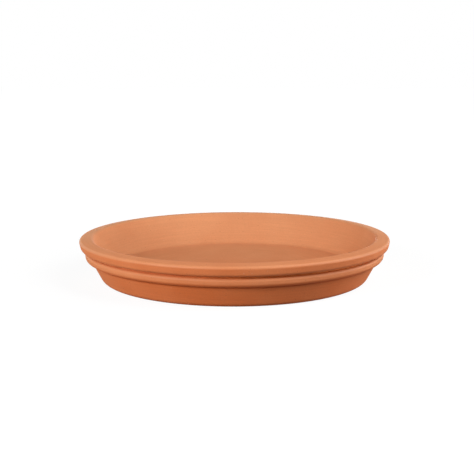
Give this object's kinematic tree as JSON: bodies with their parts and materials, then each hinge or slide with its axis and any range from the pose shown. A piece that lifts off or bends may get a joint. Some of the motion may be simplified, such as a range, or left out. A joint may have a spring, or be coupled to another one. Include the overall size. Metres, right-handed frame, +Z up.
{
  "type": "plant saucer",
  "caption": "Round shallow plant saucer of unglazed terracotta, with a crowned lip, a half-round bead under it, a tapered wall and a dished underside; it stands under a flower pot.",
  "frame": {"origin": "middle of the foot ring, on the surface that the saucer stands on", "axes": "+Z up along the axis that the dish is turned about; +X and +Y are any two radial directions"},
  "size_m": [0.25, 0.25, 0.035],
  "materials": {
    "terracotta": "matt unglazed fired clay, warm orange"
  },
  "bodies": {
    "root": {"saucer": "terracotta"}
  },
  "joints": []
}
